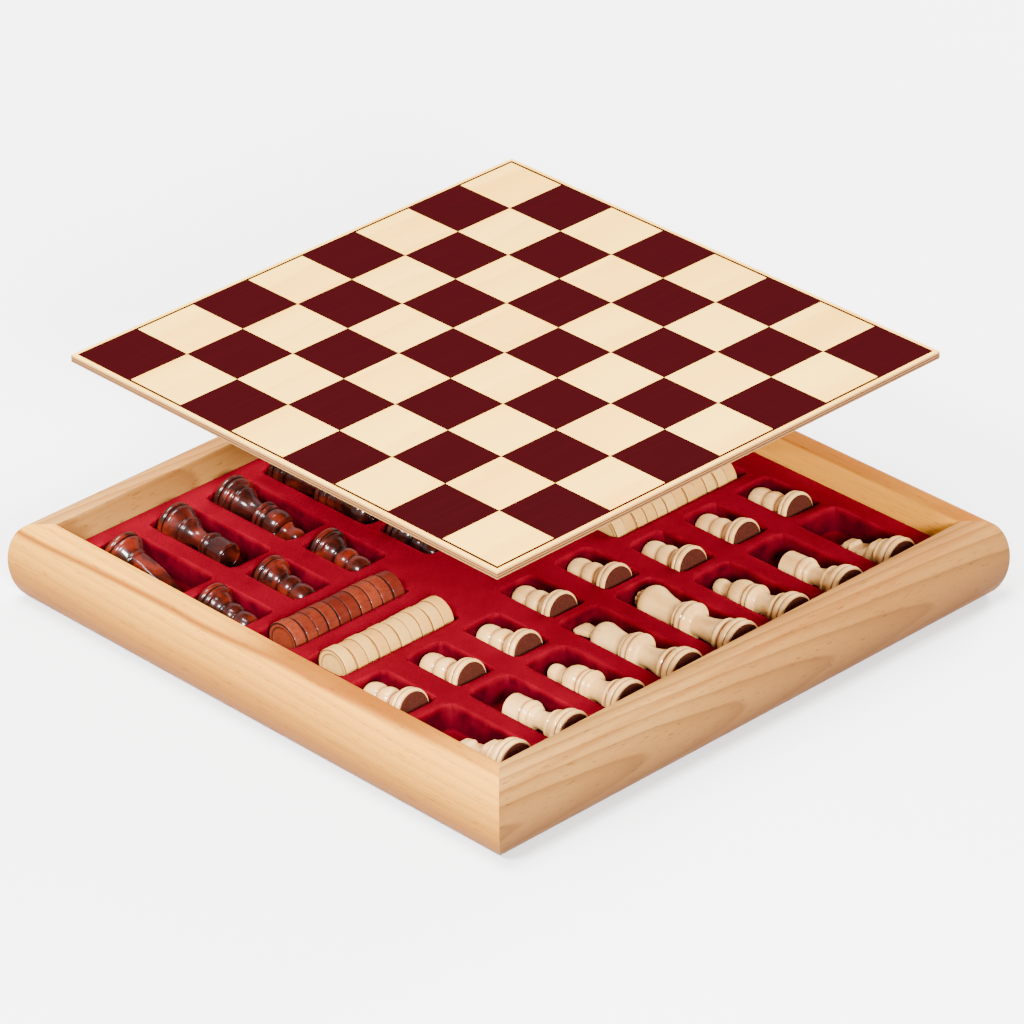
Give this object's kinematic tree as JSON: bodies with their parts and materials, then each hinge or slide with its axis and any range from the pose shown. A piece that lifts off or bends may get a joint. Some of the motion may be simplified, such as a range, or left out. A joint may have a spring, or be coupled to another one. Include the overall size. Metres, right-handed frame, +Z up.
{
  "type": "chess and draughts set",
  "caption": "Square wooden games box with rounded mitred rails and a red flocked tray of chessmen and draughtsmen, under a loose checkered playing board that lifts off.",
  "frame": {"origin": "middle of the box on the surface it stands on", "axes": "+Z up; +X and +Y along the rails; the light men lie along the -Y rail"},
  "size_m": [0.343, 0.343, 0.1341],
  "materials": {
    "pine": "clear satin varnish",
    "panel_board": "plain thin board",
    "red_flock": "red flock on a formed sheet",
    "birch_ply": "clear satin varnish",
    "maroon_print": "printed ink under satin varnish",
    "light_lacquer": "gloss lacquer",
    "dark_lacquer": "red-brown stain under gloss lacquer"
  },
  "bodies": {
    "box": {"rail_front": "pine", "rail_right": "pine", "rail_back": "pine", "rail_left": "pine", "base_panel": "panel_board", "flocked_tray": "red_flock"},
    "board": {"playing_board": "birch_ply", "chess_squares": "maroon_print", "chess_border_line": "maroon_print", "draughts_squares": "maroon_print", "draughts_border_line": "maroon_print"},
    "light_knight_a": {"light_knight_a": "light_lacquer"},
    "light_rook_a": {"light_rook_a": "light_lacquer"},
    "light_bishop_a": {"light_bishop_a": "light_lacquer"},
    "light_king": {"light_king": "light_lacquer"},
    "light_queen": {"light_queen": "light_lacquer"},
    "light_bishop_b": {"light_bishop_b": "light_lacquer"},
    "light_rook_b": {"light_rook_b": "light_lacquer"},
    "light_knight_b": {"light_knight_b": "light_lacquer"},
    "light_pawn_1": {"light_pawn_1": "light_lacquer"},
    "light_pawn_2": {"light_pawn_2": "light_lacquer"},
    "light_pawn_3": {"light_pawn_3": "light_lacquer"},
    "light_pawn_4": {"light_pawn_4": "light_lacquer"},
    "light_pawn_5": {"light_pawn_5": "light_lacquer"},
    "light_pawn_6": {"light_pawn_6": "light_lacquer"},
    "light_pawn_7": {"light_pawn_7": "light_lacquer"},
    "light_pawn_8": {"light_pawn_8": "light_lacquer"},
    "dark_knight_a": {"dark_knight_a": "dark_lacquer"},
    "dark_rook_a": {"dark_rook_a": "dark_lacquer"},
    "dark_bishop_a": {"dark_bishop_a": "dark_lacquer"},
    "dark_king": {"dark_king": "dark_lacquer"},
    "dark_queen": {"dark_queen": "dark_lacquer"},
    "dark_bishop_b": {"dark_bishop_b": "dark_lacquer"},
    "dark_rook_b": {"dark_rook_b": "dark_lacquer"},
    "dark_knight_b": {"dark_knight_b": "dark_lacquer"},
    "dark_pawn_1": {"dark_pawn_1": "dark_lacquer"},
    "dark_pawn_2": {"dark_pawn_2": "dark_lacquer"},
    "dark_pawn_3": {"dark_pawn_3": "dark_lacquer"},
    "dark_pawn_4": {"dark_pawn_4": "dark_lacquer"},
    "dark_pawn_5": {"dark_pawn_5": "dark_lacquer"},
    "dark_pawn_6": {"dark_pawn_6": "dark_lacquer"},
    "dark_pawn_7": {"dark_pawn_7": "dark_lacquer"},
    "dark_pawn_8": {"dark_pawn_8": "dark_lacquer"},
    "light_draughts_left": {"light_draughts_left": "light_lacquer"},
    "light_draughts_right": {"light_draughts_right": "light_lacquer"},
    "dark_draughts_left": {"dark_draughts_left": "dark_lacquer"},
    "dark_draughts_right": {"dark_draughts_right": "dark_lacquer"}
  },
  "joints": [
    {"name": "board_lift", "type": "slide", "parent": "box", "child": "board", "axis": [0, 0, 1], "range_m": [-0.094, 0.036]},
    {"name": "light_knight_a_lift", "type": "slide", "parent": "box", "child": "light_knight_a", "axis": [0, 0, 1], "range_m": [0, 0.045]},
    {"name": "light_rook_a_lift", "type": "slide", "parent": "box", "child": "light_rook_a", "axis": [0, 0, 1], "range_m": [0, 0.045]},
    {"name": "light_bishop_a_lift", "type": "slide", "parent": "box", "child": "light_bishop_a", "axis": [0, 0, 1], "range_m": [0, 0.045]},
    {"name": "light_king_lift", "type": "slide", "parent": "box", "child": "light_king", "axis": [0, 0, 1], "range_m": [0, 0.045]},
    {"name": "light_queen_lift", "type": "slide", "parent": "box", "child": "light_queen", "axis": [0, 0, 1], "range_m": [0, 0.045]},
    {"name": "light_bishop_b_lift", "type": "slide", "parent": "box", "child": "light_bishop_b", "axis": [0, 0, 1], "range_m": [0, 0.045]},
    {"name": "light_rook_b_lift", "type": "slide", "parent": "box", "child": "light_rook_b", "axis": [0, 0, 1], "range_m": [0, 0.045]},
    {"name": "light_knight_b_lift", "type": "slide", "parent": "box", "child": "light_knight_b", "axis": [0, 0, 1], "range_m": [0, 0.045]},
    {"name": "light_pawn_1_lift", "type": "slide", "parent": "box", "child": "light_pawn_1", "axis": [0, 0, 1], "range_m": [0, 0.045]},
    {"name": "light_pawn_2_lift", "type": "slide", "parent": "box", "child": "light_pawn_2", "axis": [0, 0, 1], "range_m": [0, 0.045]},
    {"name": "light_pawn_3_lift", "type": "slide", "parent": "box", "child": "light_pawn_3", "axis": [0, 0, 1], "range_m": [0, 0.045]},
    {"name": "light_pawn_4_lift", "type": "slide", "parent": "box", "child": "light_pawn_4", "axis": [0, 0, 1], "range_m": [0, 0.045]},
    {"name": "light_pawn_5_lift", "type": "slide", "parent": "box", "child": "light_pawn_5", "axis": [0, 0, 1], "range_m": [0, 0.045]},
    {"name": "light_pawn_6_lift", "type": "slide", "parent": "box", "child": "light_pawn_6", "axis": [0, 0, 1], "range_m": [0, 0.045]},
    {"name": "light_pawn_7_lift", "type": "slide", "parent": "box", "child": "light_pawn_7", "axis": [0, 0, 1], "range_m": [0, 0.045]},
    {"name": "light_pawn_8_lift", "type": "slide", "parent": "box", "child": "light_pawn_8", "axis": [0, 0, 1], "range_m": [0, 0.045]},
    {"name": "dark_knight_a_lift", "type": "slide", "parent": "box", "child": "dark_knight_a", "axis": [0, 0, 1], "range_m": [0, 0.045]},
    {"name": "dark_rook_a_lift", "type": "slide", "parent": "box", "child": "dark_rook_a", "axis": [0, 0, 1], "range_m": [0, 0.045]},
    {"name": "dark_bishop_a_lift", "type": "slide", "parent": "box", "child": "dark_bishop_a", "axis": [0, 0, 1], "range_m": [0, 0.045]},
    {"name": "dark_king_lift", "type": "slide", "parent": "box", "child": "dark_king", "axis": [0, 0, 1], "range_m": [0, 0.045]},
    {"name": "dark_queen_lift", "type": "slide", "parent": "box", "child": "dark_queen", "axis": [0, 0, 1], "range_m": [0, 0.045]},
    {"name": "dark_bishop_b_lift", "type": "slide", "parent": "box", "child": "dark_bishop_b", "axis": [0, 0, 1], "range_m": [0, 0.045]},
    {"name": "dark_rook_b_lift", "type": "slide", "parent": "box", "child": "dark_rook_b", "axis": [0, 0, 1], "range_m": [0, 0.045]},
    {"name": "dark_knight_b_lift", "type": "slide", "parent": "box", "child": "dark_knight_b", "axis": [0, 0, 1], "range_m": [0, 0.045]},
    {"name": "dark_pawn_1_lift", "type": "slide", "parent": "box", "child": "dark_pawn_1", "axis": [0, 0, 1], "range_m": [0, 0.045]},
    {"name": "dark_pawn_2_lift", "type": "slide", "parent": "box", "child": "dark_pawn_2", "axis": [0, 0, 1], "range_m": [0, 0.045]},
    {"name": "dark_pawn_3_lift", "type": "slide", "parent": "box", "child": "dark_pawn_3", "axis": [0, 0, 1], "range_m": [0, 0.045]},
    {"name": "dark_pawn_4_lift", "type": "slide", "parent": "box", "child": "dark_pawn_4", "axis": [0, 0, 1], "range_m": [0, 0.045]},
    {"name": "dark_pawn_5_lift", "type": "slide", "parent": "box", "child": "dark_pawn_5", "axis": [0, 0, 1], "range_m": [0, 0.045]},
    {"name": "dark_pawn_6_lift", "type": "slide", "parent": "box", "child": "dark_pawn_6", "axis": [0, 0, 1], "range_m": [0, 0.045]},
    {"name": "dark_pawn_7_lift", "type": "slide", "parent": "box", "child": "dark_pawn_7", "axis": [0, 0, 1], "range_m": [0, 0.045]},
    {"name": "dark_pawn_8_lift", "type": "slide", "parent": "box", "child": "dark_pawn_8", "axis": [0, 0, 1], "range_m": [0, 0.045]},
    {"name": "light_draughts_left_lift", "type": "slide", "parent": "box", "child": "light_draughts_left", "axis": [0, 0, 1], "range_m": [0, 0.045]},
    {"name": "light_draughts_right_lift", "type": "slide", "parent": "box", "child": "light_draughts_right", "axis": [0, 0, 1], "range_m": [0, 0.045]},
    {"name": "dark_draughts_left_lift", "type": "slide", "parent": "box", "child": "dark_draughts_left", "axis": [0, 0, 1], "range_m": [0, 0.045]},
    {"name": "dark_draughts_right_lift", "type": "slide", "parent": "box", "child": "dark_draughts_right", "axis": [0, 0, 1], "range_m": [0, 0.045]}
  ]
}
